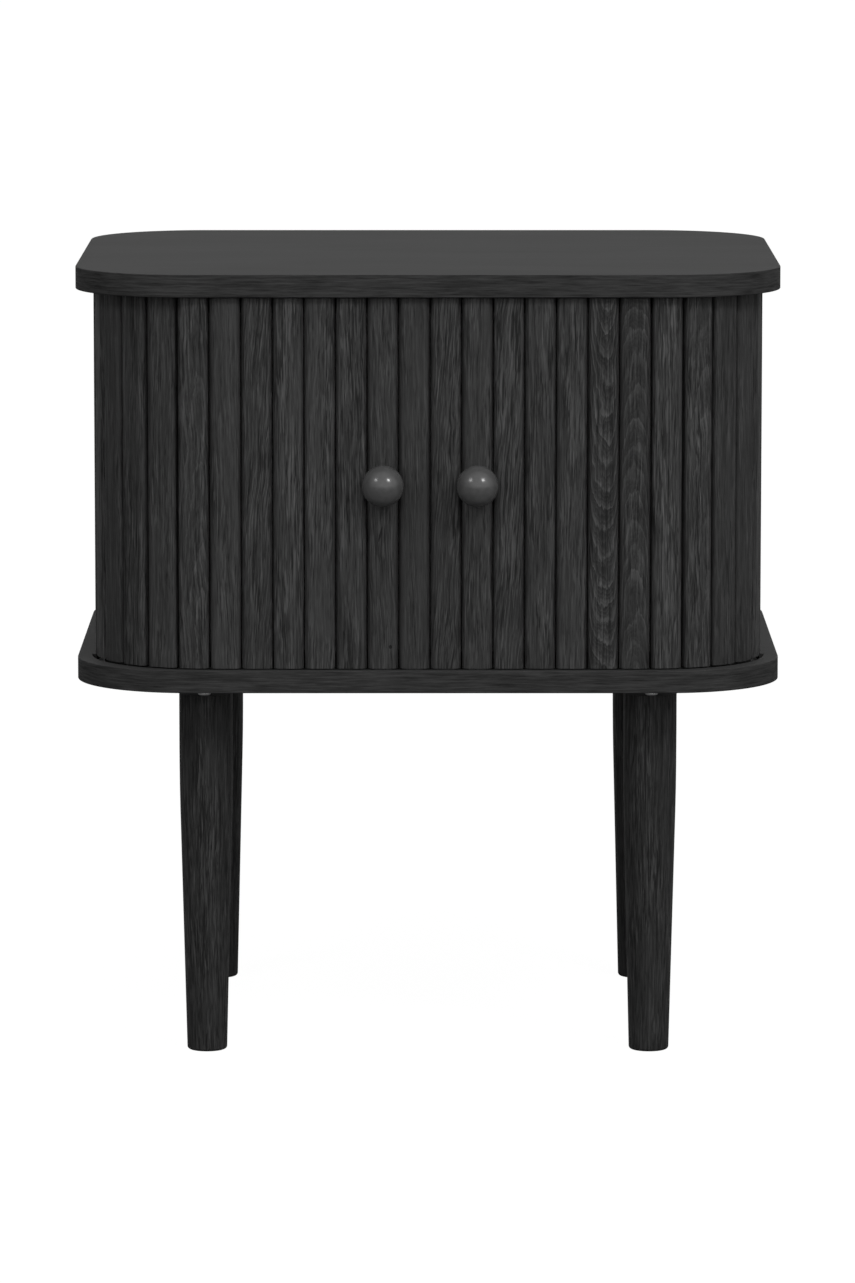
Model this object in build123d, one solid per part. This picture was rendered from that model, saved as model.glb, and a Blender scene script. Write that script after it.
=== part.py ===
"""Bedside cabinet with two slatted tambour doors, as separate pieces in millimetres.

The frame: +Z up from the floor, the front looks along -Y, the origin is under the middle of
the whole object, knobs included. Distances along the track are measured on the cloth line,
the inner face of the slats, from the middle of the front towards a side.
"""
from build123d import *
from math import atan2, cos, degrees, pi, radians, sin
import os

# Overall sizes
CABINET_WIDTH = 500.0
CABINET_DEPTH = 400.0
BOARD_THICKNESS = 16.0
BOARD_CORNER_RADIUS = 82.0
BOARD_EDGE_EASING = 0.7
INNER_HEIGHT = 263.0
LEG_LENGTH = 258.0
LEG_PLATE_HEIGHT = 7.0

# Doors and their track
FRONT_OVERHANG = 5.0
SIDE_OVERHANG = 12.0
BEND_RADIUS = 75.0
SLAT_THICKNESS = 8.0
SLAT_WIDTH = 21.4
SLAT_GAP = 0.7
SLAT_CROWN = 0.5
SLAT_EDGE_RADIUS = 4.5
SLAT_BACK_BEVEL = 0.5
SLAT_END_CLEARANCE = 0.8
SLATS_PER_DOOR = 13
MEETING_SHIFT = 1.5
DOOR_TRAVEL = 108.0
GROOVE_DEPTH = 8.0
TONGUE_THICKNESS = 5.0
TONGUE_SETBACK = 1.5
TONGUE_SHOULDER = 0.5
TONGUE_END_CLEARANCE = 1.5
GROOVE_SIDE_CLEARANCE = 0.5
BEND_RELIEF = 3.0
TRACK_END_CLEARANCE = 4.0
CLOTH_THICKNESS = 0.6
CLOTH_END_MARGIN = 12.0
CLOTH_GLUE_GAP = 0.05

# Fixed carcass
WALL_THICKNESS = 16.0
WALL_TRACK_CLEARANCE = 5.0
WALL_FRONT_SETBACK = 2.0
WALL_REAR_INSET = 30.0
BACK_PANEL_THICKNESS = 6.0
BACK_PANEL_RECESS = 6.0
PANEL_GROOVE_DEPTH = 5.5
PANEL_FIT = 0.2

# Knobs
KNOB_DIAMETER = 29.2
KNOB_STANDOFF = 13.6
KNOB_SCREW_DIAMETER = 4.0
KNOB_SCREW_HEAD_DIAMETER = 7.6
KNOB_SCREW_HEAD_HEIGHT = 2.4
KNOB_SCREW_REACH = 11.0
KNOB_HOLE_SPARE = 1.0

# Legs and their fixings
LEG_TOP_DIAMETER = 38.0
LEG_FOOT_DIAMETER = 28.4
LEG_TAPER_TOP = 172.0
LEG_TAPER_DIAMETER = 36.9
FOOT_ROUNDING = 2.2
LEG_INSET_SIDE = 92.0
LEG_INSET_FRONT = 56.7
PLATE_BRIM_DIAMETER = 74.0
PLATE_BRIM_THICKNESS = 2.0
PLATE_BOSS_TOP_DIAMETER = 47.0
PLATE_BOSS_DIAMETER = 43.0
PLATE_BOSS_ROUNDING = 2.0
PLATE_WALL = 2.0
LEG_BOLT_DIAMETER = 8.0
LEG_BOLT_IN_LEG = 30.0
LEG_BOLT_END_GAP = 1.0
BOLT_FIT = 0.05
PLATE_SCREW_CIRCLE_RADIUS = 31.5
PLATE_SCREWS_PER_LEG = 4
PLATE_SCREW_DIAMETER = 4.0
PLATE_SCREW_HEAD_DIAMETER = 9.2
PLATE_SCREW_HEAD_HEIGHT = 2.7
PLATE_SCREW_REACH = 12.0
SCREW_HOLE_FIT = 0.05

# Joining of walls and boards
DOWEL_DIAMETER = 8.0
DOWEL_IN_BOARD = 10.0
DOWEL_IN_WALL = 20.0
DOWEL_END_GAP = 0.5
DOWEL_FROM_WALL_END = 32.0
CAM_DISC_DIAMETER = 15.0
CAM_DISC_THICKNESS = 12.5
CAM_DISC_DEPTH = 24.0
CAM_DISC_SLOT = 8.0
CAM_BOLT_DIAMETER = 6.0
CAM_BOLT_IN_BOARD = 11.0
CAM_BOLT_HEAD_DIAMETER = 7.0
CAM_BOLT_HEAD_LENGTH = 3.0
CAM_FROM_WALL_END = 74.0
LONG_SCREW_DIAMETER = 5.0
LONG_SCREW_HEAD_DIAMETER = 10.0
LONG_SCREW_HEAD_HEIGHT = 3.0
LONG_SCREW_IN_WALL = 34.0
HEX_SOCKET_WIDTH = 4.0
HEX_SOCKET_DEPTH = 2.0

# Heights
BOTTOM_BOARD_Z = LEG_LENGTH + LEG_PLATE_HEIGHT
FLOOR_Z = BOTTOM_BOARD_Z + BOARD_THICKNESS
CEILING_Z = FLOOR_Z + INNER_HEIGHT
TOP_Z = CEILING_Z + BOARD_THICKNESS
KNOB_Z = (FLOOR_Z + CEILING_Z) / 2

# Places in plan
KNOB_RADIUS = KNOB_DIAMETER / 2
KNOB_REACH = KNOB_STANDOFF + KNOB_RADIUS - FRONT_OVERHANG
FRONT_Y = -(CABINET_DEPTH + KNOB_REACH) / 2 + KNOB_REACH
BACK_Y = FRONT_Y + CABINET_DEPTH
HALF_WIDTH = CABINET_WIDTH / 2
CLOTH_LINE_X = HALF_WIDTH - SIDE_OVERHANG - SLAT_THICKNESS
CLOTH_LINE_Y = FRONT_Y + FRONT_OVERHANG + SLAT_THICKNESS
BEND_X = CLOTH_LINE_X - BEND_RADIUS
BEND_Y = CLOTH_LINE_Y + BEND_RADIUS
BEND_LENGTH = BEND_RADIUS * pi / 2
SLAT_PITCH = SLAT_WIDTH + SLAT_GAP
WALL_OUTER_X = CLOTH_LINE_X - WALL_TRACK_CLEARANCE
WALL_INNER_X = WALL_OUTER_X - WALL_THICKNESS
WALL_FRONT_Y = BEND_Y + WALL_FRONT_SETBACK
WALL_REAR_Y = BACK_Y - WALL_REAR_INSET
PANEL_REAR_Y = WALL_REAR_Y - BACK_PANEL_RECESS
LEG_X = HALF_WIDTH - LEG_INSET_SIDE
GROOVE_INNER = TONGUE_SETBACK - GROOVE_SIDE_CLEARANCE
GROOVE_OUTER = TONGUE_SETBACK + TONGUE_THICKNESS + GROOVE_SIDE_CLEARANCE

SIDES = {"left": -1, "right": 1}


def save(name, shape):
    """Write one piece, or one group of like pieces, as its own file."""
    export_step(shape, os.path.join("parts", name + ".step"))


def upright_cylinder(x, y, z_low, z_high, diameter):
    """A round bar along Z between two heights."""
    height = z_high - z_low
    return Pos(x, y, z_low + height / 2) * Cylinder(diameter / 2, height)


def block(x_low, x_high, y_low, y_high, z_low, z_high):
    """A box between two corners."""
    size = (x_high - x_low, y_high - y_low, z_high - z_low)
    middle = ((x_low + x_high) / 2, (y_low + y_high) / 2, (z_low + z_high) / 2)
    return Pos(*middle) * Box(*size)


def cloth_distance(slats, side):
    """Distance from the middle of the front along the cloth, past so many slats of a closed door."""
    return slats * SLAT_PITCH + side * MEETING_SHIFT


def cloth_point(distance, inset=0.0):
    """Point of the right-hand track, so far along the cloth line and so far inside it."""
    if distance <= BEND_X:
        return distance, CLOTH_LINE_Y + inset
    if distance >= BEND_X + BEND_LENGTH:
        return CLOTH_LINE_X - inset, BEND_Y + distance - BEND_X - BEND_LENGTH
    turn = (distance - BEND_X) / BEND_RADIUS
    radius = BEND_RADIUS - inset
    return BEND_X + radius * sin(turn), BEND_Y - radius * cos(turn)


def slat_place(number, side):
    """Middle of a slat's back and its turn in degrees: both its back edges are on the cloth line."""
    x_near, y_near = cloth_point(cloth_distance(number - 1, side))
    x_far, y_far = cloth_point(cloth_distance(number, side))
    turn = degrees(atan2(y_far - y_near, x_far - x_near))
    return side * (x_near + x_far) / 2, (y_near + y_far) / 2, side * turn


def board_outline():
    """Plan of both boards."""
    middle_y = (FRONT_Y + BACK_Y) / 2
    return Pos(0, middle_y) * RectangleRounded(CABINET_WIDTH, CABINET_DEPTH, BOARD_CORNER_RADIUS)


def track_side_end():
    """How far back the side track runs: past the last slat of a fully open door."""
    last = cloth_distance(SLATS_PER_DOOR, 1) + DOOR_TRAVEL
    return BEND_Y + last - BEND_X - BEND_LENGTH + TRACK_END_CLEARANCE


def track_plan():
    """Plan of the routed groove: front run, two bends opened outwards, two side runs."""
    front_low = CLOTH_LINE_Y - GROOVE_OUTER
    front_high = CLOTH_LINE_Y - GROOVE_INNER
    width = GROOVE_OUTER - GROOVE_INNER
    middle_y = (front_low + front_high) / 2
    plan = Pos(0, middle_y) * Rectangle(2 * (BEND_X + BEND_RELIEF), width)
    relief_radius = BEND_RADIUS + GROOVE_OUTER
    run_end = track_side_end()
    for side in SIDES.values():
        outer = Pos(side * (BEND_X + BEND_RELIEF), BEND_Y) * Circle(relief_radius)
        inner = Pos(side * BEND_X, BEND_Y) * Circle(BEND_RADIUS + GROOVE_INNER)
        reach = relief_radius + BEND_RELIEF
        quarter = Pos(side * (BEND_X + reach / 2), BEND_Y - reach / 2) * Rectangle(reach, reach)
        bend = (outer & quarter) - inner
        run_x = side * (CLOTH_LINE_X + (GROOVE_INNER + GROOVE_OUTER) / 2)
        run_length = run_end - BEND_Y
        run = Pos(run_x, BEND_Y + run_length / 2) * Rectangle(width, run_length)
        plan = plan + bend + run
    return plan


def eased_board(z_low):
    """A plain board with its outer edges eased."""
    board = Pos(0, 0, z_low) * extrude(board_outline(), BOARD_THICKNESS)
    rims = board.faces().filter_by(Plane.XY).edges()
    return fillet(rims, BOARD_EDGE_EASING)


def wall_line_places(setback):
    """The two places along a wall's end, one near each end of the wall."""
    return (WALL_FRONT_Y + setback, WALL_REAR_Y - setback)


def wall_middle_x(side):
    return side * (WALL_OUTER_X + WALL_INNER_X) / 2


def leg_places():
    """Axes of the four legs: name, x, y."""
    rows = {"front": FRONT_Y + LEG_INSET_FRONT, "rear": BACK_Y - LEG_INSET_FRONT}
    return [(f"{row}_{name}", side * LEG_X, y) for row, y in rows.items() for name, side in SIDES.items()]


def plate_screw_places(x, y):
    """Screw places round one leg: front, back and both sides of it."""
    step = 360 / PLATE_SCREWS_PER_LEG
    angles = [radians(index * step) for index in range(PLATE_SCREWS_PER_LEG)]
    radius = PLATE_SCREW_CIRCLE_RADIUS
    return [(x + radius * sin(angle), y - radius * cos(angle)) for angle in angles]


def back_panel_block(fit):
    """The back panel, smaller than its grooves by the given fit on every side."""
    reach = PANEL_GROOVE_DEPTH - fit
    half = WALL_INNER_X + reach
    front = PANEL_REAR_Y - BACK_PANEL_THICKNESS + fit
    return block(-half, half, front, PANEL_REAR_Y - fit, FLOOR_Z - reach, CEILING_Z + reach)


def dowel(x, y, joint_z, towards_wall, gap):
    """A dowel across the joint at joint_z; towards_wall is +1 if the wall is above it."""
    low = joint_z - (DOWEL_IN_BOARD if towards_wall > 0 else DOWEL_IN_WALL)
    high = joint_z + (DOWEL_IN_WALL if towards_wall > 0 else DOWEL_IN_BOARD)
    diameter = DOWEL_DIAMETER + (0 if gap else 2 * BOLT_FIT)
    return upright_cylinder(x, y, low + gap, high - gap, diameter)


def dowel_set(gap):
    """All eight dowels, or with no gap the holes they sit in."""
    bars = []
    for side in SIDES.values():
        for y in wall_line_places(DOWEL_FROM_WALL_END):
            bars.append(dowel(wall_middle_x(side), y, FLOOR_Z, 1, gap))
            bars.append(dowel(wall_middle_x(side), y, CEILING_Z, -1, gap))
    return bars


def cam_places():
    """Cam bolts and discs: side, y."""
    return [(side, y) for side in SIDES.values() for y in wall_line_places(CAM_FROM_WALL_END)]


def cam_disc_z():
    return CEILING_Z - CAM_DISC_DEPTH


def cam_disc(side, y, fit):
    """A disc let into the inner face of a wall."""
    outer = side * (WALL_INNER_X + CAM_DISC_THICKNESS)
    middle = (outer + side * WALL_INNER_X) / 2
    disc = Cylinder(CAM_DISC_DIAMETER / 2 + fit, CAM_DISC_THICKNESS)
    return Pos(middle, y, cam_disc_z()) * Rot(0, 90, 0) * disc


def cam_bolt(side, y, fit):
    """A bolt screwed into the top board, its head inside the disc."""
    x = wall_middle_x(side)
    shank_low = cam_disc_z() - CAM_BOLT_HEAD_LENGTH / 2
    shank = upright_cylinder(x, y, shank_low, CEILING_Z + CAM_BOLT_IN_BOARD, CAM_BOLT_DIAMETER + 2 * fit)
    head_high = shank_low + CAM_BOLT_HEAD_LENGTH
    head = upright_cylinder(x, y, shank_low, head_high, CAM_BOLT_HEAD_DIAMETER + 2 * fit)
    return shank + head


def long_screw(x, y, fit):
    """A long flat-head screw, up through the bottom board into a wall."""
    head_high = BOTTOM_BOARD_Z + LONG_SCREW_HEAD_HEIGHT
    head = upright_cylinder(x, y, BOTTOM_BOARD_Z, head_high, LONG_SCREW_HEAD_DIAMETER + 2 * fit)
    shank_top = FLOOR_Z + LONG_SCREW_IN_WALL
    shank = upright_cylinder(x, y, BOTTOM_BOARD_Z, shank_top, LONG_SCREW_DIAMETER + 2 * fit)
    return head + shank


def long_screw_places():
    """Places of the long screws: x, y."""
    return [(wall_middle_x(side), y) for side, y in cam_places()]


def plate_screw(x, y, fit):
    """A pan-head screw through a plate's brim into the bottom board."""
    seat = BOTTOM_BOARD_Z - PLATE_BRIM_THICKNESS
    shank = upright_cylinder(x, y, seat, BOTTOM_BOARD_Z + PLATE_SCREW_REACH, PLATE_SCREW_DIAMETER + 2 * fit)
    if fit:
        return shank
    head = upright_cylinder(x, y, seat - PLATE_SCREW_HEAD_HEIGHT, seat, PLATE_SCREW_HEAD_DIAMETER)
    low_rim = head.edges().group_by(Axis.Z)[0]
    head = fillet(low_rim, PLATE_SCREW_HEAD_HEIGHT / 2)
    return shank + head


def leg_bolt(x, y, fit):
    """A hanger bolt from the leg's top up into the plate's collar."""
    low = LEG_LENGTH - LEG_BOLT_IN_LEG
    high = BOTTOM_BOARD_Z - LEG_BOLT_END_GAP
    return upright_cylinder(x, y, low, high, LEG_BOLT_DIAMETER + 2 * fit)


def make_bottom_board():
    board = eased_board(BOTTOM_BOARD_Z)
    board -= Pos(0, 0, FLOOR_Z - GROOVE_DEPTH) * extrude(track_plan(), GROOVE_DEPTH)
    board -= back_panel_block(0)
    board -= dowel_set(0)
    board -= [long_screw(x, y, SCREW_HOLE_FIT) for x, y in long_screw_places()]
    for _, x, y in leg_places():
        board -= [plate_screw(*place, SCREW_HOLE_FIT) for place in plate_screw_places(x, y)]
    return board


def make_top_board():
    board = eased_board(CEILING_Z)
    board -= Pos(0, 0, CEILING_Z) * extrude(track_plan(), GROOVE_DEPTH)
    board -= back_panel_block(0)
    board -= dowel_set(0)
    board -= [cam_bolt(side, y, BOLT_FIT) for side, y in cam_places()]
    return board


def make_side_wall(side):
    x_low, x_high = sorted((side * WALL_INNER_X, side * WALL_OUTER_X))
    wall = block(x_low, x_high, WALL_FRONT_Y, WALL_REAR_Y, FLOOR_Z, CEILING_Z)
    wall -= back_panel_block(0)
    wall -= dowel_set(0)
    wall -= [cam_disc(where, y, BOLT_FIT) for where, y in cam_places()]
    wall -= [cam_bolt(where, y, BOLT_FIT) for where, y in cam_places()]
    wall -= [long_screw(x, y, SCREW_HOLE_FIT) for x, y in long_screw_places()]
    return wall


def make_cam_disc(side, y):
    """A cam disc, hollowed where the bolt's head hooks in and slotted for its driver."""
    disc = cam_disc(side, y, 0)
    x = wall_middle_x(side)
    half = CAM_DISC_SLOT / 2
    pocket = block(x - half, x + half, y - half, y + half, cam_disc_z() - half, CEILING_Z)
    face_x = side * WALL_INNER_X
    slot = Pos(face_x, y, cam_disc_z()) * Box(HEX_SOCKET_DEPTH, CAM_DISC_SLOT, HEX_SOCKET_DEPTH)
    return disc - pocket - slot


def make_long_screw(x, y):
    socket = RegularPolygon(HEX_SOCKET_WIDTH / 2, 6, major_radius=False)
    hollow = Pos(x, y, BOTTOM_BOARD_Z) * extrude(socket, HEX_SOCKET_DEPTH)
    return long_screw(x, y, 0) - hollow


def make_leg():
    """A turned leg standing at the origin: straight taper, then a soft swell to the top."""
    foot = LEG_FOOT_DIAMETER / 2
    knee = (LEG_TAPER_DIAMETER / 2, LEG_TAPER_TOP)
    top = (LEG_TOP_DIAMETER / 2, LEG_LENGTH)
    slope = (knee[0] - foot, LEG_TAPER_TOP)
    taper = Line((foot, 0), knee)
    swell = Spline(knee, top, tangents=[slope, (0, 1)])
    axis_side = Polyline(top, (0, LEG_LENGTH), (0, 0), (foot, 0))
    profile = make_face([taper, swell, axis_side])
    leg = revolve(Plane.XZ * profile, Axis.Z)
    foot_rim = leg.edges().group_by(Axis.Z)[0]
    leg = fillet(foot_rim, FOOT_ROUNDING)
    return leg - leg_bolt(0, 0, BOLT_FIT)


def make_leg_plate():
    """A stamped plate at the origin: flat brim, hollow boss and a threaded collar."""
    brim_r = PLATE_BRIM_DIAMETER / 2
    high = BOTTOM_BOARD_Z
    brim_low = high - PLATE_BRIM_THICKNESS
    shoulder_r = PLATE_BOSS_TOP_DIAMETER / 2
    boss_r = PLATE_BOSS_DIAMETER / 2
    hollow_r = boss_r - PLATE_WALL
    outline = Polyline(
        (0, LEG_LENGTH),
        (boss_r, LEG_LENGTH),
        (shoulder_r, brim_low),
        (brim_r, brim_low),
        (brim_r, high),
        (0, high),
        close=True,
    )
    plate = revolve(Plane.XZ * make_face(outline), Axis.Z)
    low_rim = plate.edges().group_by(Axis.Z)[0]
    plate = fillet(low_rim, PLATE_BOSS_ROUNDING)
    hollow = upright_cylinder(0, 0, LEG_LENGTH + PLATE_WALL, high, 2 * hollow_r)
    collar = upright_cylinder(0, 0, LEG_LENGTH + PLATE_WALL, high, LEG_BOLT_DIAMETER + 2 * PLATE_WALL)
    plate -= hollow - collar
    plate -= leg_bolt(0, 0, BOLT_FIT)
    plate -= [plate_screw(x, y, SCREW_HOLE_FIT) for x, y in plate_screw_places(0, 0)]
    return plate


def slat_plan():
    """Section of a slat: flat back on the cloth line, crowned face towards -Y."""
    half = SLAT_WIDTH / 2
    bevel = SLAT_BACK_BEVEL
    edge_y = -(SLAT_THICKNESS - SLAT_CROWN)
    face = ThreePointArc((half, edge_y), (0, -SLAT_THICKNESS), (-half, edge_y))
    rest = Polyline(
        (-half, edge_y),
        (-half, -bevel),
        (-half + bevel, 0),
        (half - bevel, 0),
        (half, -bevel),
        (half, edge_y),
    )
    plan = make_face([face, rest])
    corners = plan.vertices().filter_by(lambda vertex: vertex.Y < edge_y + SLAT_CROWN / 2)
    return fillet(corners, SLAT_EDGE_RADIUS)


def make_slat(tongues):
    """A slat at the origin with its back on the cloth line, with or without end tongues."""
    low = FLOOR_Z + SLAT_END_CLEARANCE
    high = CEILING_Z - SLAT_END_CLEARANCE
    slat = Pos(0, 0, low) * extrude(slat_plan(), high - low)
    if tongues:
        reach = GROOVE_DEPTH - TONGUE_END_CLEARANCE
        half = SLAT_WIDTH / 2 - SLAT_EDGE_RADIUS - TONGUE_SHOULDER
        front = -(TONGUE_SETBACK + TONGUE_THICKNESS)
        slat += block(-half, half, front, -TONGUE_SETBACK, FLOOR_Z - reach, CEILING_Z + reach)
    return slat


def place_on_track(shape, number, side):
    x, y, turn = slat_place(number, side)
    return Pos(x, y, 0) * Rot(0, 0, turn) * shape


def knob_screw_solid(fit):
    """The countersunk knob screw at the origin, along -Y from the slat's back."""
    shank_length = SLAT_THICKNESS + KNOB_SCREW_REACH + (KNOB_HOLE_SPARE if fit else 0)
    radius = KNOB_SCREW_DIAMETER / 2 + fit
    shank = Rot(90, 0, 0) * Cylinder(radius, shank_length, align=(Align.CENTER, Align.CENTER, Align.MIN))
    head_r = KNOB_SCREW_HEAD_DIAMETER / 2 + fit
    cone = Cone(head_r, radius, KNOB_SCREW_HEAD_HEIGHT, align=(Align.CENTER, Align.CENTER, Align.MIN))
    return Pos(0, 0, KNOB_Z) * (shank + Rot(90, 0, 0) * cone)


def make_knob():
    """A ball knob at the origin, flattened where it meets the slat's face."""
    ball = Pos(0, -SLAT_THICKNESS - KNOB_STANDOFF, KNOB_Z) * Sphere(KNOB_RADIUS)
    cutter = Cylinder(KNOB_RADIUS, KNOB_RADIUS, align=(Align.CENTER, Align.CENTER, Align.MAX))
    behind = Pos(0, -SLAT_THICKNESS, KNOB_Z) * Rot(90, 0, 0) * cutter
    return ball - behind - knob_screw_solid(SCREW_HOLE_FIT)


def make_cloth(side):
    """The cloth backing: flat behind each slat, creased between them, as one strip."""
    near = []
    far = []
    for edge in range(SLATS_PER_DOOR + 1):
        distance = cloth_distance(edge, side)
        if edge == 0:
            distance += SLAT_GAP
        for points, inset in ((near, CLOTH_GLUE_GAP), (far, CLOTH_GLUE_GAP + CLOTH_THICKNESS)):
            x, y = cloth_point(distance, inset)
            points.append((side * x, y))
    outline = Polyline(*near, *reversed(far), close=True)
    low = FLOOR_Z + CLOTH_END_MARGIN
    height = INNER_HEIGHT - 2 * CLOTH_END_MARGIN
    return Pos(0, 0, low) * extrude(make_face(outline), height)


def main():
    os.makedirs("parts", exist_ok=True)
    save("top_board", make_top_board())
    save("bottom_board", make_bottom_board())
    for name, side in SIDES.items():
        save(f"side_wall_{name}", make_side_wall(side))
    save("back_panel", back_panel_block(PANEL_FIT))
    save("dowels", Compound(dowel_set(DOWEL_END_GAP)))
    save("cam_bolts", Compound([cam_bolt(side, y, 0) for side, y in cam_places()]))
    save("cam_discs", Compound([make_cam_disc(side, y) for side, y in cam_places()]))
    save("bottom_screws", Compound([make_long_screw(x, y) for x, y in long_screw_places()]))
    leg = make_leg()
    plate = make_leg_plate()
    bolts = []
    screws = []
    for name, x, y in leg_places():
        save(f"leg_{name}", Pos(x, y, 0) * leg)
        save(f"leg_plate_{name}", Pos(x, y, 0) * plate)
        bolts.append(leg_bolt(x, y, 0))
        screws += [plate_screw(*place, 0) for place in plate_screw_places(x, y)]
    save("leg_bolts", Compound(bolts))
    save("leg_plate_screws", Compound(screws))
    plain = make_slat(False)
    tongued = make_slat(True)
    drilled = tongued - knob_screw_solid(SCREW_HOLE_FIT)
    shapes = {1: tongued, 2: drilled}
    for name, side in SIDES.items():
        for number in range(1, SLATS_PER_DOOR + 1):
            shape = shapes.get(number, plain)
            save(f"slat_{name}_{number:02d}", place_on_track(shape, number, side))
        save(f"knob_{name}", place_on_track(make_knob(), 2, side))
        save(f"knob_screw_{name}", place_on_track(knob_screw_solid(0), 2, side))
        save(f"door_cloth_{name}", make_cloth(side))


main()
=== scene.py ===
"""Looks of a black-stained oak bedside cabinet with two slatted roller doors.

Everything is in metres in the cabinet's own frame: +Z up from the floor, doors towards -Y.
The solid pieces come from the frame and get their finish here. The cloth that backs the
doors is built here, one strip for each moving body.
"""
import math

import bpy
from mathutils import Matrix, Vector


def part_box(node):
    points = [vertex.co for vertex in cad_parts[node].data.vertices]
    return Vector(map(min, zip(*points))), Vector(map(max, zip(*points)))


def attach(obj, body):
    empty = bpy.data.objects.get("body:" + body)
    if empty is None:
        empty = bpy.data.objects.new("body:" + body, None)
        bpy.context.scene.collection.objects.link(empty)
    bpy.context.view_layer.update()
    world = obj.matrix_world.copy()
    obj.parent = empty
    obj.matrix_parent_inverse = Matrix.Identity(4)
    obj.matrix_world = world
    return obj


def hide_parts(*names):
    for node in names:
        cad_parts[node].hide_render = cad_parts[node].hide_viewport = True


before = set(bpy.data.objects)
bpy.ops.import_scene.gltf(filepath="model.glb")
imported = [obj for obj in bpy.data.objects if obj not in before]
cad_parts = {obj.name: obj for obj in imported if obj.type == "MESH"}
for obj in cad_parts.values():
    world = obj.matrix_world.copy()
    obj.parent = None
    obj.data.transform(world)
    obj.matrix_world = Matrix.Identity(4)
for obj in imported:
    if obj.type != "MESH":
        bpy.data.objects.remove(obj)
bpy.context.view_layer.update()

SIDES = ("left", "right")
SLATS_PER_DOOR = 13
SLATS_ON_DOOR_BODY = 2
# How level an upright face may look, and how alike two faces of one back look
UPRIGHT_FACING = 0.01
SAME_FACING = 0.9999

# Camera: a long lens in front of the cabinet, a little above it, looking slightly down
CAMERA_PLACE = (-0.0003, -5.098, 0.977)
CAMERA_DOWN_TILT = math.radians(7.83)
SENSOR_SIZE = 36.0
LENS_LENGTH = 197.9
NEAREST_SEEN = 0.1
FARTHEST_SEEN = 200.0

# Floor and surroundings
FLOOR_RADIUS = 60.0
FLOOR_SIDES = 96
FLOOR_GLOW = 0.98
FLOOR_SHADED = (0.049, 0.050)
FLOOR_BOUNCE = 0.2
FLOOR_CLOUDS = (1.5, 2.0, 0.5)
SKY_SEEN = 1.0
SKY_AROUND = 0.25
SKY_FROM_RIGHT = 0.28
SKY_FROM_FRONT = 0.95
SKY_FROM_ABOVE = 0.25
SKY_DARKEST = 0.04
BACKDROP_LIGHT = 0.80
BACKDROP_EDGE = (0.35, 0.85)

# Softboxes: place, size, power in watts
LIGHT_TARGET = (0.0, 0.0, 0.3)
SOFTBOXES = {
    "key_right": ((1.65, -2.15, 2.45), 0.6, 31.0),
    "fill_left": ((-1.9, -1.95, 2.45), 0.6, 15.0),
}

# Stain: how much light each wooden surface gives back on average
SLAT_STAIN = 0.0238
BOARD_STAIN = 0.036
EDGE_STAIN = 0.030
LEG_STAIN = 0.0150
PANEL_STAIN = 0.026
DARKEST_TONE = 0.15
WOOD_ROUGHNESS = 0.56
WOOD_GLOSS = 0.28
BOARD_ROUGHNESS = 0.70
BOARD_GLOSS = 0.10
PANEL_EXTRA_ROUGHNESS = 0.08
GRAIN_DEPTH = 0.00016
PANEL_GRAIN_SHARE = 0.5
PANEL_DEPTH_SHARE = 0.6

# Most of a noise's values lie between these two
NOISE_SPAN = (0.3, 0.7)
# Noises of the grain: waves a metre across and along the fibres, shift, octaves, roughness
GRAIN_NOISES = {
    "fibres": (620.0, 24.0, 0.0, 5.0, 0.70),
    "threads": (1500.0, 62.0, 3.0, 2.0, 0.6),
    "glints": (1050.0, 58.0, 61.0, 1.0, 0.5),
    "pores": (1150.0, 85.0, 5.7, 1.0, 0.5),
    "streaks": (230.0, 5.0, 11.3, 2.0, 0.5),
    "clouds": (75.0, 20.0, 23.0, 2.0, 0.55),
    "calm": (90.0, 16.0, 47.0, 1.0, 0.5),
    "wander": (55.0, 16.0, 31.0, 2.0, 0.5),
    "ring_warp": (60.0, 26.0, 0.0, 3.0, 0.6),
    "ring_drift": (12.0, 9.0, 4.0, 1.0, 0.5),
    "ring_teeth": (700.0, 120.0, 9.0, 2.0, 0.6),
}
# Seeds move a noise by these shares along the three axes
SEED_WAY = (1.0, 1.7, 0.6)
# How far each noise darkens or lightens the stain
FIBRE_TONE = 4.2
THREAD_TONE = 2.2
PORE_TONE = -0.48
GLINT_TONE = 0.75
STREAK_TONE = 1.0
CLOUD_TONE = 0.7
RING_TONE = 3.0
BETWEEN_RINGS_TONE = 0.50
PORE_HEIGHT = -0.8
# Where a noise starts and ends to count, and what that gives
PORE_EDGE = (0.60, 0.70)
GLINT_EDGE = (0.545, 0.625)
CALM_EDGE = (0.36, 0.62)
LIVELINESS = (0.45, 1.35)
TOOTH_EDGE = (0.38, 0.60)
TOOTH_LIGHT = (0.35, 1.25)
# Sideways moves of the fibres and of the rings, in metres
FIBRE_WANDER = 0.0034
RING_SWAYS = {"ring_warp": 0.0042, "ring_drift": 0.0060, "ring_teeth": 0.0011}
# Growth rings
SLAT_RING_WIDTH = 0.0021
LEG_RING_WIDTH = 0.0026
PANEL_RING_WIDTH = 0.006
THIN_RINGS_IN_ONE = 3.7
THIN_RING_LIGHT = 0.35
BROAD_RING_RISE = 3.6
THIN_RING_RISE = 1.8
RING_END = (0.88, 1.0)
# Roughness of the stain by its tone
ROUGH_TONES = (0.4, 1.6)
ROUGH_CHANGES = (0.08, -0.06)

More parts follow.
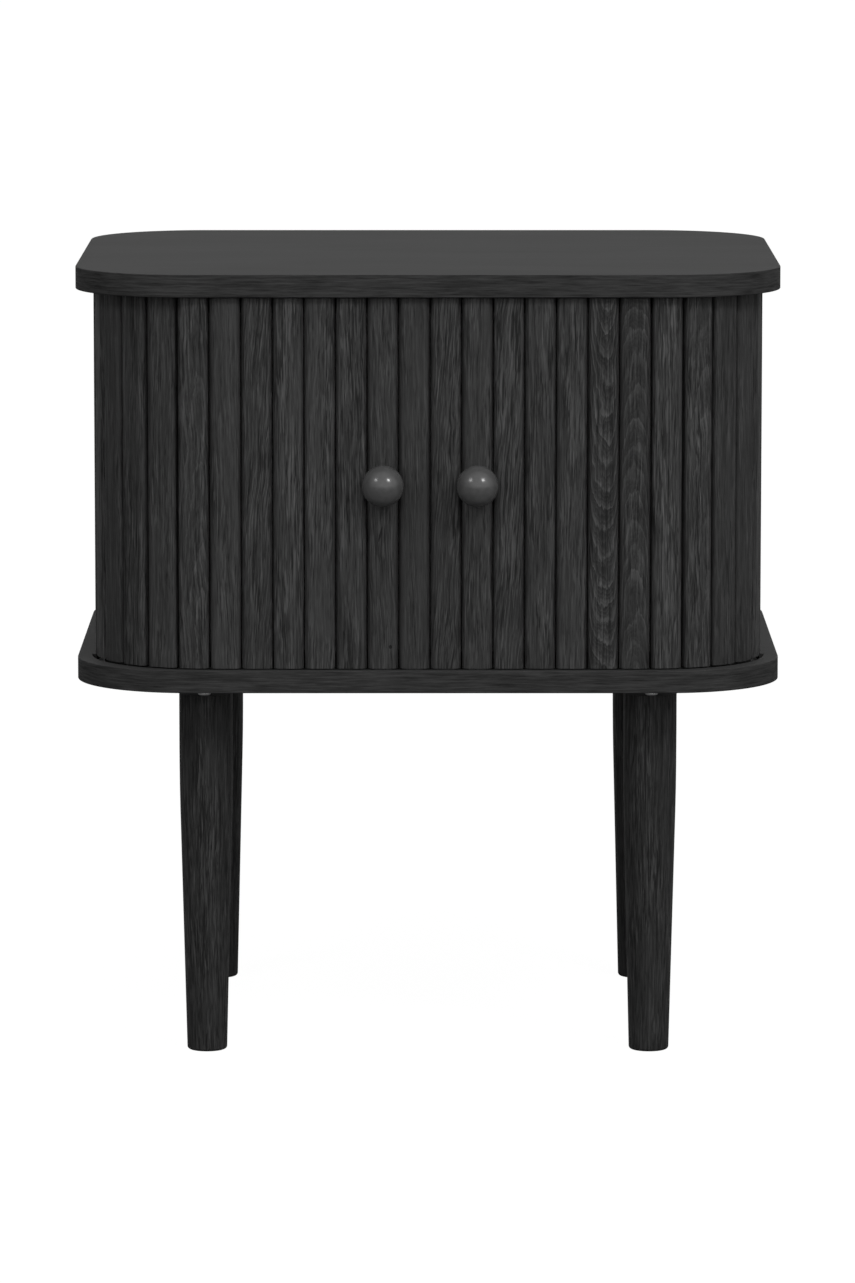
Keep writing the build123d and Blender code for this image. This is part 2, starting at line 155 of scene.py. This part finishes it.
# Board faces and edges: waves a metre along X, Y and Z, octaves and roughness of each noise
FLAT_FACING = 0.7
FACE_FIBRES = ((9, 260, 0), 4.0, 0.6)
FACE_CLOUDS = ((5, 16, 0), 2.0, 0.5)
EDGE_FIBRES = ((46, 46, 820), 4.0, 0.66)
EDGE_CLOUDS = ((11, 11, 130), 2.0, 0.5)
FACE_FIBRE_TONE = 0.35
FACE_CLOUD_TONE = 0.25
EDGE_FIBRE_TONE = 2.6
EDGE_CLOUD_TONE = 0.8
FACE_HEIGHT_SHARE = 0.3
BOARD_SEEDS = {"top_board": 2.0, "bottom_board": 17.0}

# Lacquer, powder coat, zinc and beech: waves a metre, octaves and roughness of each noise
KNOB_CLOUDS = (180.0, 3.0, 0.55)
KNOB_PEEL = (900.0, 2.0, 0.5)
KNOB_COLOUR = (0.058, 0.074)
KNOB_ROUGHNESS = (0.18, 0.27)
KNOB_GLOSS = 0.5
COAT_PEBBLES = (1800.0, 2.0, 0.6)
COAT_COLOUR = (0.004, 0.008)
COAT_ROUGHNESS = (0.42, 0.55)
COAT_GLOSS = 0.4
COAT_PEBBLE_DEPTH = 0.00008
ZINC_MOTTLE = (700.0, 3.0, 0.6)
BRIGHT_ZINC = 0.50
DULL_ZINC = 0.45
ZINC_CHANGE = (0.85, 1.1)
ZINC_ROUGHNESS = (0.38, 0.24)
SMOOTH_DEPTH = 0.00003
BEECH_FLECKS = ((900, 900, 90), 3.0, 0.6)
BEECH_DARK = (0.36, 0.23, 0.13, 1)
BEECH_LIGHT = (0.62, 0.45, 0.28, 1)
BEECH_SPAN = (0.35, 0.65)
BEECH_ROUGHNESS = (0.6, 0.5)
BEECH_DEPTH = 0.00005

# Cloth behind the slats
CLOTH_THICKNESS = 0.0006
CLOTH_LIFT = 0.00018
CLOTH_RIPPLE = 0.00012
CLOTH_ROWS = 48
CLOTH_COLUMNS = 10
RIPPLES_UP = 9.0
RIPPLE_SHIFT = 2.1
THREAD_PITCH = 0.0011
WEAVE_COLOUR = (0.010, 0.024)
CLOTH_SLUBS = ((900, 60, 1), 3.0, 0.6)
SLUB_COLOUR = (-0.003, 0.006)
CLOTH_ROUGHNESS = (0.95, 0.85)
CLOTH_SHEEN = 0.25
CLOTH_SHEEN_ROUGHNESS = 0.5
WEAVE_DEPTH = 0.00012
SLUB_HEIGHT = 0.5

# Grain of each slat, from the meeting line of the doors outwards: pattern and depth of stain
SLAT_LOOKS = {
    "left": [
        ("calm", "middle"), ("crack", "middle"), ("straight", "middle"), ("fine", "pale"),
        ("straight", "pale"), ("slanted", "dark"), ("calm", "pale"), ("flame", "middle"),
        ("fine", "middle"), ("fine", "middle"), ("calm", "middle"), ("straight", "middle"),
        ("fine", "middle"),
    ],
    "right": [
        ("slanted", "dark"), ("fine", "middle"), ("slanted", "middle"), ("straight", "middle"),
        ("fine", "pale"), ("hanging_arches", "dark"), ("standing_arches", "dark"),
        ("straight", "pale"), ("flame", "middle"), ("calm", "middle"), ("calm", "middle"),
        ("fine", "middle"), ("straight", "middle"),
    ],
}
# The tree behind each slat: its pith across and behind, the lean of the log, the turn of the
# fibres in degrees, how strong the ring lines and the fibres are, how much the fibres wander
GRAIN_WORDS = ("pith_across", "pith_depth", "lean", "turn", "rings", "fibres", "wander")
GRAIN_VALUES = {
    "straight": (0.060, 0.030, 0.010, 0.4, 0.20, 1.15, 0.6),
    "turned": (0.060, 0.030, 0.010, 0.0, 0.25, 1.50, 0.8),
    "fine": (0.035, 0.060, 0.012, -0.8, 0.10, 0.95, 1.0),
    "calm": (-0.045, 0.050, -0.010, 0.8, 0.10, 0.70, 1.2),
    "slanted": (0.050, 0.030, 0.020, -3.0, 0.45, 1.10, 2.0),
    "flame": (0.012, 0.045, 0.060, 1.5, 0.45, 1.15, 2.2),
    "crack": (0.040, 0.040, 0.030, 1.2, 0.20, 0.85, 1.4),
    "hanging_arches": (0.003, 0.033, -0.130, 0.0, 1.0, 0.80, 0.8),
    "standing_arches": (0.001, 0.036, 0.110, 0.0, 0.6, 0.90, 1.2),
}
GRAIN_PATTERNS = {name: dict(zip(GRAIN_WORDS, values)) for name, values in GRAIN_VALUES.items()}
STAIN_TONES = {"dark": 0.86, "middle": 1.0, "pale": 1.15}
SLAT_SEED_STEP = 7.31
RIGHT_DOOR_SEED = 40.0
LEG_SEED_STEP = 3.1
LEFT_LEG_SEED = 9.0
REAR_LEG_SEED = 21.0
PANEL_SEED_STEP = 1.7
# Small dark flaws: side, slat, then across, along, half width, half length and lean
SLAT_FLAWS = {
    ("left", 2): [(-0.0017, -0.0355, 0.0008, 0.0064, 0.25), (0.0053, -0.1155, 0.0013, 0.0017, 0.0)],
}
FLAW_EDGE = (0.35, 1.0)
FLAW_TONE = -0.85
FLAW_HEIGHT = -2.0


class Graph:
    """A node tree with short calls: each adds one node or a few and gives back their output."""

    def __init__(self, tree):
        self.tree = tree

    def node(self, kind, **settings):
        made = self.tree.nodes.new(kind)
        for name, value in settings.items():
            setattr(made, name, value)
        return made

    def put(self, socket, value):
        if isinstance(value, bpy.types.NodeSocket):
            self.tree.links.new(value, socket)
        else:
            socket.default_value = value

    def math(self, operation, *values):
        made = self.node("ShaderNodeMath", operation=operation)
        for socket, value in zip(made.inputs, values):
            self.put(socket, value)
        return made.outputs[0]

    def sway(self, noise, amount, base):
        """The base, moved by up to half the amount either way as the noise says."""
        return self.math("MULTIPLY_ADD", self.math("SUBTRACT", noise, 0.5), amount, base)

    def split(self, vector):
        made = self.node("ShaderNodeSeparateXYZ")
        self.put(made.inputs[0], vector)
        return made.outputs[0], made.outputs[1], made.outputs[2]

    def join(self, x, y, z):
        made = self.node("ShaderNodeCombineXYZ")
        for socket, value in zip(made.inputs, (x, y, z)):
            self.put(socket, value)
        return made.outputs[0]

    def mapping(self, vector, location=(0, 0, 0), rotation=(0, 0, 0), scale=(1, 1, 1)):
        made = self.node("ShaderNodeMapping")
        self.put(made.inputs["Vector"], vector)
        self.put(made.inputs["Location"], location)
        self.put(made.inputs["Rotation"], rotation)
        self.put(made.inputs["Scale"], scale)
        return made.outputs[0]

    def noise(self, vector, scale=1.0, detail=2.0, roughness=0.5):
        made = self.node("ShaderNodeTexNoise")
        self.put(made.inputs["Vector"], vector)
        self.put(made.inputs["Scale"], scale)
        self.put(made.inputs["Detail"], detail)
        self.put(made.inputs["Roughness"], roughness)
        return made.outputs["Fac"]

    def remap(self, value, low, high, new_low=0.0, new_high=1.0, smooth=False):
        style = "SMOOTHSTEP" if smooth else "LINEAR"
        made = self.node("ShaderNodeMapRange", interpolation_type=style)
        for socket, given in zip(made.inputs, (value, low, high, new_low, new_high)):
            self.put(socket, given)
        return made.outputs[0]

    def spread(self, noise, ends):
        """A noise's usual span, spread between two values."""
        return self.remap(noise, *NOISE_SPAN, *ends)

    def grey(self, value):
        return self.join(value, value, value)


def new_material(name):
    """An empty node material: its graph and its surface shader, joined to the output."""
    made = bpy.data.materials.new(name)
    made.use_nodes = True
    made.node_tree.nodes.clear()
    graph = Graph(made.node_tree)
    shader = graph.node("ShaderNodeBsdfPrincipled")
    output = graph.node("ShaderNodeOutputMaterial")
    graph.tree.links.new(shader.outputs[0], output.inputs["Surface"])
    return made, graph, shader


def object_place(graph):
    """Coordinates that stay with a piece when it moves."""
    return graph.node("ShaderNodeTexCoord").outputs["Object"]


def add_bump(graph, shader, height, depth):
    bump = graph.node("ShaderNodeBump")
    graph.put(bump.inputs["Strength"], 1.0)
    graph.put(bump.inputs["Distance"], depth)
    graph.put(bump.inputs["Height"], height)
    graph.put(shader.inputs["Normal"], bump.outputs["Normal"])


def grain_noise(graph, place, kind, seed):
    """One of the grain's noises, stretched along the fibres."""
    across, along, shift, detail, roughness = GRAIN_NOISES[kind]
    location = [(seed + shift) * share for share in SEED_WAY]
    stretched = graph.mapping(place, location=location, scale=(across, across, along))
    return graph.noise(stretched, 1.0, detail, roughness)


def stretched_noise(graph, place, kind, location=(0, 0, 0)):
    """A noise with its own number of waves along each axis."""
    scale, detail, roughness = kind
    return graph.noise(graph.mapping(place, location=location, scale=scale), 1.0, detail, roughness)


def wandering_fibres(graph, place, seed, amount):
    """The same place, pushed sideways a little by the slow wander of the fibres."""
    wander = grain_noise(graph, place, "wander", seed)
    x, y, z = graph.split(place)
    return graph.join(graph.sway(wander, FIBRE_WANDER * amount, x), y, z)


def flaw_mask(graph, place, across, along, half_width, half_length, lean):
    """One inside a small crack or knot, nought outside it."""
    x, _, z = graph.split(place)
    up = graph.math("SUBTRACT", z, along)
    side = graph.math("SUBTRACT", graph.math("SUBTRACT", x, across), graph.math("MULTIPLY", up, lean))
    far_x = graph.math("POWER", graph.math("DIVIDE", side, half_width), 2.0)
    far_z = graph.math("POWER", graph.math("DIVIDE", up, half_length), 2.0)
    return graph.remap(graph.math("ADD", far_x, far_z), *FLAW_EDGE, 1.0, 0.0, smooth=True)


def saw_lines(graph, distance, width, sharpness):
    """Lines that swell slowly and end abruptly, as early and late wood do."""
    phase = graph.math("FRACT", graph.math("DIVIDE", distance, width))
    rise = graph.math("POWER", phase, sharpness)
    fall = graph.remap(phase, *RING_END, 1.0, 0.0, smooth=True)
    return graph.math("MULTIPLY", rise, fall)


def ring_lines(graph, place, seed, pattern, ring_width):
    """Bright lines where the growth rings of a leaning log cut the piece."""
    across, behind, along = graph.split(place)
    leaning = graph.math("MULTIPLY_ADD", along, pattern["lean"], pattern["pith_depth"])
    from_pith_x = graph.math("SUBTRACT", across, pattern["pith_across"])
    from_pith_y = graph.math("ADD", behind, leaning)
    squares = graph.math(
        "ADD",
        graph.math("POWER", from_pith_x, 2.0),
        graph.math("POWER", from_pith_y, 2.0),
    )
    radius = graph.math("SQRT", squares)
    for kind, amount in RING_SWAYS.items():
        radius = graph.sway(grain_noise(graph, place, kind, seed), amount, radius)
    broad = saw_lines(graph, radius, ring_width, BROAD_RING_RISE)
    thin = saw_lines(graph, radius, ring_width / THIN_RINGS_IN_ONE, THIN_RING_RISE)
    return graph.math("MULTIPLY_ADD", thin, THIN_RING_LIGHT, broad)


def oak_tone(graph, place, seed, pattern, ring_width):
    """Light and dark of stained oak round 1, and the height of its open grain round 0."""
    place = wandering_fibres(graph, place, seed, pattern["wander"])
    fibres = grain_noise(graph, place, "fibres", seed)
    threads = grain_noise(graph, place, "threads", seed)
    glints = graph.remap(grain_noise(graph, place, "glints", seed), *GLINT_EDGE, smooth=True)
    pores = graph.remap(grain_noise(graph, place, "pores", seed), *PORE_EDGE, smooth=True)
    liveliness = graph.remap(grain_noise(graph, place, "calm", seed), *CALM_EDGE, *LIVELINESS)
    lively = graph.math("MULTIPLY", liveliness, pattern["fibres"])
    fine = graph.sway(threads, THREAD_TONE, graph.sway(fibres, FIBRE_TONE, 0.0))
    fine = graph.math("MULTIPLY_ADD", pores, PORE_TONE, fine)
    fine = graph.math("MULTIPLY_ADD", glints, GLINT_TONE, fine)
    tone = graph.math("MULTIPLY_ADD", fine, lively, 1.0)
    tone = graph.sway(grain_noise(graph, place, "streaks", seed), STREAK_TONE, tone)
    tone = graph.sway(grain_noise(graph, place, "clouds", seed), CLOUD_TONE, tone)
    rings = ring_lines(graph, place, seed, pattern, ring_width)
    teeth = graph.remap(fibres, *TOOTH_EDGE, *TOOTH_LIGHT)
    toothed = graph.math("MULTIPLY", rings, teeth)
    tone = graph.math("MULTIPLY_ADD", toothed, RING_TONE * pattern["rings"], tone)
    tone = graph.math("SUBTRACT", tone, BETWEEN_RINGS_TONE * pattern["rings"])
    height = graph.math("MULTIPLY_ADD", pores, PORE_HEIGHT, fibres)
    return tone, height


def finish_oak(
    graph, shader, tone, height, stain,
    roughness=WOOD_ROUGHNESS, gloss=WOOD_GLOSS, depth=GRAIN_DEPTH,
):
    """Black stain over the grain: colour, sheen and open pores."""
    colour = graph.math("MULTIPLY", graph.math("MAXIMUM", tone, DARKEST_TONE), stain)
    graph.put(shader.inputs["Base Color"], graph.grey(colour))
    roughest, smoothest = [roughness + change for change in ROUGH_CHANGES]
    graph.put(shader.inputs["Roughness"], graph.remap(tone, *ROUGH_TONES, roughest, smoothest))
    shader.inputs["Specular IOR Level"].default_value = gloss
    add_bump(graph, shader, height, depth)


def slat_material(name, frame_of_slat, number, side):
    """Upright oak grain that follows one slat's own face."""
    made, graph, shader = new_material(name)
    look, tone_word = SLAT_LOOKS[side][number - 1]
    pattern = GRAIN_PATTERNS[look]
    middle, _, across = frame_of_slat
    turn = math.atan2(across.y, across.x)
    seed = number * SLAT_SEED_STEP + (RIGHT_DOOR_SEED if side == "right" else 0.0)
    centred = graph.mapping(object_place(graph), location=-middle)
    local = graph.mapping(centred, rotation=(0, 0, -turn))
    tilted = graph.mapping(local, rotation=(0, math.radians(pattern["turn"]), 0))
    tone, height = oak_tone(graph, tilted, seed, pattern, SLAT_RING_WIDTH)
    for flaw in SLAT_FLAWS.get((side, number), []):
        mask = flaw_mask(graph, local, *flaw)
        tone = graph.math("MULTIPLY", tone, graph.math("MULTIPLY_ADD", mask, FLAW_TONE, 1.0))
        height = graph.math("MULTIPLY_ADD", mask, FLAW_HEIGHT, height)
    finish_oak(graph, shader, tone, height, SLAT_STAIN * STAIN_TONES[tone_word])
    return made


def board_material(name, seed):
    """Oak-faced board: grain along the width on its faces, level streaks round its edge."""
    made, graph, shader = new_material(name)
    coordinates = graph.node("ShaderNodeTexCoord")
    place = coordinates.outputs["Object"]
    _, _, facing = graph.split(coordinates.outputs["Normal"])
    flat = graph.math("GREATER_THAN", graph.math("ABSOLUTE", facing), FLAT_FACING)
    edge = graph.math("SUBTRACT", 1.0, flat)
    face_fibres = stretched_noise(graph, place, FACE_FIBRES, (seed, 0, 0))
    face_clouds = stretched_noise(graph, place, FACE_CLOUDS)
    face_tone = graph.sway(face_clouds, FACE_CLOUD_TONE, graph.sway(face_fibres, FACE_FIBRE_TONE, 1.0))
    edge_fibres = stretched_noise(graph, place, EDGE_FIBRES, (0, 0, seed))
    edge_clouds = stretched_noise(graph, place, EDGE_CLOUDS, (0, 0, seed))
    edge_tone = graph.sway(edge_clouds, EDGE_CLOUD_TONE, graph.sway(edge_fibres, EDGE_FIBRE_TONE, 1.0))
    face_share = graph.math("MULTIPLY", flat, BOARD_STAIN / EDGE_STAIN)
    tone = graph.math(
        "ADD",
        graph.math("MULTIPLY", face_tone, face_share),
        graph.math("MULTIPLY", edge_tone, edge),
    )
    height = graph.math(
        "ADD",
        graph.math("MULTIPLY", face_fibres, graph.math("MULTIPLY", flat, FACE_HEIGHT_SHARE)),
        graph.math("MULTIPLY", edge_fibres, edge),
    )
    finish_oak(graph, shader, tone, height, EDGE_STAIN, BOARD_ROUGHNESS, BOARD_GLOSS)
    return made


def leg_material(name, middle, seed):
    """Turned oak leg: straight grain through the round."""
    made, graph, shader = new_material(name)
    centred = graph.mapping(object_place(graph), location=(-middle.x, -middle.y, 0))
    tone, height = oak_tone(graph, centred, seed, GRAIN_PATTERNS["turned"], LEG_RING_WIDTH)
    finish_oak(graph, shader, tone, height, LEG_STAIN)
    return made


def panel_material(name, seed):
    """Plain stained panel with upright grain, duller than the fronts."""
    made, graph, shader = new_material(name)
    tone, height = oak_tone(graph, object_place(graph), seed, GRAIN_PATTERNS["fine"], PANEL_RING_WIDTH)
    softer = graph.math("MULTIPLY_ADD", graph.math("SUBTRACT", tone, 1.0), PANEL_GRAIN_SHARE, 1.0)
    roughness = WOOD_ROUGHNESS + PANEL_EXTRA_ROUGHNESS
    depth = GRAIN_DEPTH * PANEL_DEPTH_SHARE
    finish_oak(graph, shader, softer, height, PANEL_STAIN, roughness, depth=depth)
    return made


def knob_material():
    """Black lacquer over turned wood: smooth, with a soft gloss."""
    made, graph, shader = new_material("black_lacquer")
    place = object_place(graph)
    clouds = graph.noise(place, *KNOB_CLOUDS)
    orange_peel = graph.noise(place, *KNOB_PEEL)
    graph.put(shader.inputs["Base Color"], graph.grey(graph.spread(clouds, KNOB_COLOUR)))
    graph.put(shader.inputs["Roughness"], graph.spread(clouds, KNOB_ROUGHNESS))
    shader.inputs["Specular IOR Level"].default_value = KNOB_GLOSS
    add_bump(graph, shader, orange_peel, SMOOTH_DEPTH)
    return made


def powder_coat_material():
    """Black powder coat: finely pebbled."""
    made, graph, shader = new_material("black_powder_coat")
    pebbles = graph.noise(object_place(graph), *COAT_PEBBLES)
    graph.put(shader.inputs["Base Color"], graph.grey(graph.spread(pebbles, COAT_COLOUR)))
    graph.put(shader.inputs["Roughness"], graph.spread(pebbles, COAT_ROUGHNESS))
    shader.inputs["Specular IOR Level"].default_value = COAT_GLOSS
    add_bump(graph, shader, pebbles, COAT_PEBBLE_DEPTH)
    return made


def steel_material(name, tone):
    """Zinc-plated steel, faintly mottled."""
    made, graph, shader = new_material(name)
    mottle = graph.noise(object_place(graph), *ZINC_MOTTLE)
    colour = graph.spread(mottle, [tone * change for change in ZINC_CHANGE])
    graph.put(shader.inputs["Base Color"], graph.grey(colour))
    graph.put(shader.inputs["Roughness"], graph.spread(mottle, ZINC_ROUGHNESS))
    shader.inputs["Metallic"].default_value = 1.0
    add_bump(graph, shader, mottle, SMOOTH_DEPTH)
    return made


def beech_material():
    """Plain pale beech with short darker flecks."""
    made, graph, shader = new_material("pale_beech")
    flecks = stretched_noise(graph, object_place(graph), BEECH_FLECKS)
    ramp = graph.node("ShaderNodeValToRGB")
    for element, colour, place in zip(ramp.color_ramp.elements, (BEECH_DARK, BEECH_LIGHT), BEECH_SPAN):
        element.color = colour
        element.position = place
    graph.put(ramp.inputs[0], flecks)
    graph.put(shader.inputs["Base Color"], ramp.outputs[0])
    graph.put(shader.inputs["Roughness"], graph.spread(flecks, BEECH_ROUGHNESS))
    add_bump(graph, shader, flecks, BEECH_DEPTH)
    return made


def cloth_material():
    """Black cotton canvas: plain weave with slightly uneven threads."""
    made, graph, shader = new_material("black_canvas")
    uv = graph.node("ShaderNodeTexCoord").outputs["UV"]
    u, v, _ = graph.split(uv)
    waves = [graph.math("SINE", graph.math("MULTIPLY", way, 2 * math.pi / THREAD_PITCH)) for way in (u, v)]
    weave = graph.math("MULTIPLY", *waves)
    slubs = stretched_noise(graph, uv, CLOTH_SLUBS)
    threads = graph.remap(weave, -1.0, 1.0, *WEAVE_COLOUR)
    colour = graph.math("ADD", threads, graph.spread(slubs, SLUB_COLOUR))
    graph.put(shader.inputs["Base Color"], graph.grey(colour))
    graph.put(shader.inputs["Roughness"], graph.spread(slubs, CLOTH_ROUGHNESS))
    shader.inputs["Sheen Weight"].default_value = CLOTH_SHEEN
    shader.inputs["Sheen Roughness"].default_value = CLOTH_SHEEN_ROUGHNESS
    add_bump(graph, shader, graph.math("MULTIPLY_ADD", slubs, SLUB_HEIGHT, weave), WEAVE_DEPTH)
    return made


def floor_material():
    """Pale lit floor that throws little light back up."""
    made = bpy.data.materials.new("pale_floor")
    made.use_nodes = True
    made.node_tree.nodes.clear()
    graph = Graph(made.node_tree)
    shaded = graph.node("ShaderNodeBsdfDiffuse")
    clouds = graph.noise(object_place(graph), *FLOOR_CLOUDS)
    graph.put(shaded.inputs["Color"], graph.grey(graph.spread(clouds, FLOOR_SHADED)))
    glow = graph.node("ShaderNodeEmission")
    glow.inputs["Strength"].default_value = FLOOR_GLOW
    seen = graph.node("ShaderNodeAddShader")
    graph.put(seen.inputs[0], shaded.outputs[0])
    graph.put(seen.inputs[1], glow.outputs[0])
    bounce = graph.node("ShaderNodeBsdfDiffuse")
    bounce.inputs["Color"].default_value = (FLOOR_BOUNCE, FLOOR_BOUNCE, FLOOR_BOUNCE, 1)
    either = graph.node("ShaderNodeMixShader")
    graph.put(either.inputs[0], graph.node("ShaderNodeLightPath").outputs["Is Camera Ray"])
    graph.put(either.inputs[1], bounce.outputs[0])
    graph.put(either.inputs[2], seen.outputs[0])
    output = graph.node("ShaderNodeOutputMaterial")
    graph.put(output.inputs["Surface"], either.outputs[0])
    return made


def give(node_name, material):
    """Replace whatever finish a CAD node came with."""
    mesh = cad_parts[node_name].data
    mesh.materials.clear()
    mesh.materials.append(material)


def slat_name(side, number):
    return f"slat_{side}_{number:02d}"


def slat_body(side, number):
    return f"{side}_door" if number <= SLATS_ON_DOOR_BODY else f"{side}_slat_{number:02d}"


def slat_frame(side, number):
    """Middle of a slat's flat back, the way the back looks, and the way across it."""
    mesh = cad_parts[slat_name(side, number)].data
    upright = [face for face in mesh.polygons if abs(face.normal.z) < UPRIGHT_FACING]
    back = max(upright, key=lambda face: face.area)
    in_back = [face for face in upright if face.normal.dot(back.normal) > SAME_FACING]
    corners = [mesh.vertices[index].co for face in in_back for index in face.vertices]
    normal = Vector((back.normal.x, back.normal.y, 0)).normalized()
    across = Vector((normal.y, -normal.x, 0))
    along = [corner.dot(across) for corner in corners]
    deep = [corner.dot(normal) for corner in corners]
    high = [corner.z for corner in corners]
    middle = across * (min(along) + max(along)) / 2 + normal * (sum(deep) / len(deep))
    middle.z = (min(high) + max(high)) / 2
    return middle, normal, across


def strip_points(frame_of_slat, number, pitch, low, height):
    """Points and weave coordinates of a cloth strip: two faintly rippled layers."""
    middle, normal, across = frame_of_slat
    points, weave = [], []
    for layer in range(2):
        for row in range(CLOTH_ROWS + 1):
            for column in range(CLOTH_COLUMNS + 1):
                u = column / CLOTH_COLUMNS - 0.5
                v = row / CLOTH_ROWS
                wave = math.sin(RIPPLES_UP * v + RIPPLE_SHIFT * number) * math.cos(2 * math.pi * u)
                lift = CLOTH_LIFT + CLOTH_RIPPLE * wave + layer * CLOTH_THICKNESS
                place = middle + across * (u * pitch) + normal * lift
                points.append((place.x, place.y, low + v * height))
                weave.append((u * pitch, v * height))
    return points, weave


def strip_faces():
    """Faces of a cloth strip: its two sides and its rim."""
    faces = []
    columns = CLOTH_COLUMNS + 1
    layer_size = columns * (CLOTH_ROWS + 1)
    for row in range(CLOTH_ROWS):
        for column in range(CLOTH_COLUMNS):
            a = row * columns + column
            near = (a, a + 1, a + 1 + columns, a + columns)
            faces.append(near)
            faces.append(tuple(index + layer_size for index in reversed(near)))
    rim = list(range(columns))
    rim += [row * columns + CLOTH_COLUMNS for row in range(1, CLOTH_ROWS + 1)]
    rim += [CLOTH_ROWS * columns + column for column in reversed(range(CLOTH_COLUMNS))]
    rim += [row * columns for row in reversed(range(1, CLOTH_ROWS))]
    for here, there in zip(rim, rim[1:] + rim[:1]):
        faces.append((there, here, here + layer_size, there + layer_size))
    return faces


def make_cloth_strip(side, number, pitch, material):
    """The canvas glued behind one slat, from the middle of one gap to the middle of the next."""
    low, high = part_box(f"door_cloth_{side}")
    height = high.z - low.z
    points, weave = strip_points(slat_frame(side, number), number, pitch, low.z, height)
    mesh = bpy.data.meshes.new(f"cloth_strip_{side}_{number:02d}")
    mesh.from_pydata(points, [], strip_faces())
    weave_layer = mesh.uv_layers.new(name="weave")
    for loop in mesh.loops:
        weave_layer.data[loop.index].uv = weave[loop.vertex_index]
    mesh.validate()
    mesh.update()
    mesh.materials.append(material)
    for face in mesh.polygons:
        face.use_smooth = True
    strip = bpy.data.objects.new(mesh.name, mesh)
    bpy.context.scene.collection.objects.link(strip)
    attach(strip, slat_body(side, number))
    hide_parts(f"door_cloth_{side}")


def dress_legs():
    powder_coat = powder_coat_material()
    for row in ("front", "rear"):
        for side in SIDES:
            name = f"leg_{row}_{side}"
            low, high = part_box(name)
            seed = LEG_SEED_STEP * len(name)
            seed += LEFT_LEG_SEED if side == "left" else 0.0
            seed += REAR_LEG_SEED if row == "rear" else 0.0
            give(name, leg_material(f"oak_{name}", (low + high) / 2, seed))
            give(f"leg_plate_{row}_{side}", powder_coat)


def dress_slats():
    for side in SIDES:
        for number in range(1, SLATS_PER_DOOR + 1):
            name = slat_name(side, number)
            give(name, slat_material(f"oak_{name}", slat_frame(side, number), number, side))


def dress_frame():
    """A finish for every CAD node."""
    for name, seed in BOARD_SEEDS.items():
        give(name, board_material(f"oak_{name}", seed))
    for name in ("side_wall_left", "side_wall_right", "back_panel"):
        give(name, panel_material(f"stained_{name}", len(name) * PANEL_SEED_STEP))
    dress_legs()
    lacquer = knob_material()
    dull_zinc = steel_material("dull_zinc", DULL_ZINC)
    for side in SIDES:
        give(f"knob_{side}", lacquer)
        give(f"knob_screw_{side}", dull_zinc)
    for name in ("cam_bolts", "cam_discs", "bottom_screws", "leg_bolts"):
        give(name, dull_zinc)
    give("leg_plate_screws", steel_material("bright_zinc", BRIGHT_ZINC))
    give("dowels", beech_material())
    dress_slats()


def make_cloth():
    material = cloth_material()
    for side in SIDES:
        pitch = (slat_frame(side, 1)[0] - slat_frame(side, 2)[0]).length
        for number in range(1, SLATS_PER_DOOR + 1):
            make_cloth_strip(side, number, pitch, material)


def make_floor():
    ring = [2 * math.pi * step / FLOOR_SIDES for step in range(FLOOR_SIDES)]
    points = [(FLOOR_RADIUS * math.cos(a), FLOOR_RADIUS * math.sin(a), 0) for a in ring]
    mesh = bpy.data.meshes.new("floor")
    mesh.from_pydata(points, [], [tuple(range(FLOOR_SIDES))])
    mesh.materials.append(floor_material())
    floor = bpy.data.objects.new("floor", mesh)
    bpy.context.scene.collection.objects.link(floor)


def add_softbox(name, place, size, watts):
    """A square soft light that looks at the cabinet and isn't seen itself."""
    lamp = bpy.data.lights.new(name, "AREA")
    lamp.shape = "SQUARE"
    lamp.size = size
    lamp.energy = watts
    holder = bpy.data.objects.new(name, lamp)
    holder.location = place
    way = Vector(LIGHT_TARGET) - Vector(place)
    holder.rotation_euler = way.to_track_quat("-Z", "Y").to_euler()
    holder.visible_camera = False
    bpy.context.scene.collection.objects.link(holder)


def make_lights():
    """Two softboxes in front and above, the right one stronger."""
    for name, (place, size, watts) in SOFTBOXES.items():
        add_softbox(name, place, size, watts)


def make_sky():
    """A white room: most light from the front, more from above and the right, and a lit backdrop."""
    world = bpy.data.worlds.new("studio")
    bpy.context.scene.world = world
    world.use_nodes = True
    world.node_tree.nodes.clear()
    graph = Graph(world.node_tree)
    x, y, z = graph.split(graph.node("ShaderNodeTexCoord").outputs["Generated"])
    light = graph.math("MULTIPLY_ADD", x, SKY_FROM_RIGHT, SKY_AROUND)
    light = graph.math("MULTIPLY_ADD", y, -SKY_FROM_FRONT, light)
    light = graph.math("MULTIPLY_ADD", z, SKY_FROM_ABOVE, light)
    light = graph.math("MAXIMUM", light, SKY_DARKEST)
    behind = graph.remap(y, *BACKDROP_EDGE, 0.0, BACKDROP_LIGHT, smooth=True)
    light = graph.math("ADD", light, behind)
    seen = graph.node("ShaderNodeLightPath").outputs["Is Camera Ray"]
    strength = graph.remap(seen, 0.0, 1.0, light, SKY_SEEN)
    background = graph.node("ShaderNodeBackground")
    background.inputs["Color"].default_value = (1, 1, 1, 1)
    graph.put(background.inputs["Strength"], strength)
    output = graph.node("ShaderNodeOutputWorld")
    graph.tree.links.new(background.outputs[0], output.inputs["Surface"])


def make_camera():
    data = bpy.data.cameras.new("camera")
    data.sensor_width = SENSOR_SIZE
    data.lens = LENS_LENGTH
    data.clip_start = NEAREST_SEEN
    data.clip_end = FARTHEST_SEEN
    camera = bpy.data.objects.new("camera", data)
    camera.location = CAMERA_PLACE
    camera.rotation_euler = (math.pi / 2 - CAMERA_DOWN_TILT, 0, 0)
    bpy.context.scene.collection.objects.link(camera)
    bpy.context.scene.camera = camera


bpy.context.scene.view_settings.view_transform = "Standard"
dress_frame()
make_cloth()
make_floor()
make_lights()
make_sky()
make_camera()
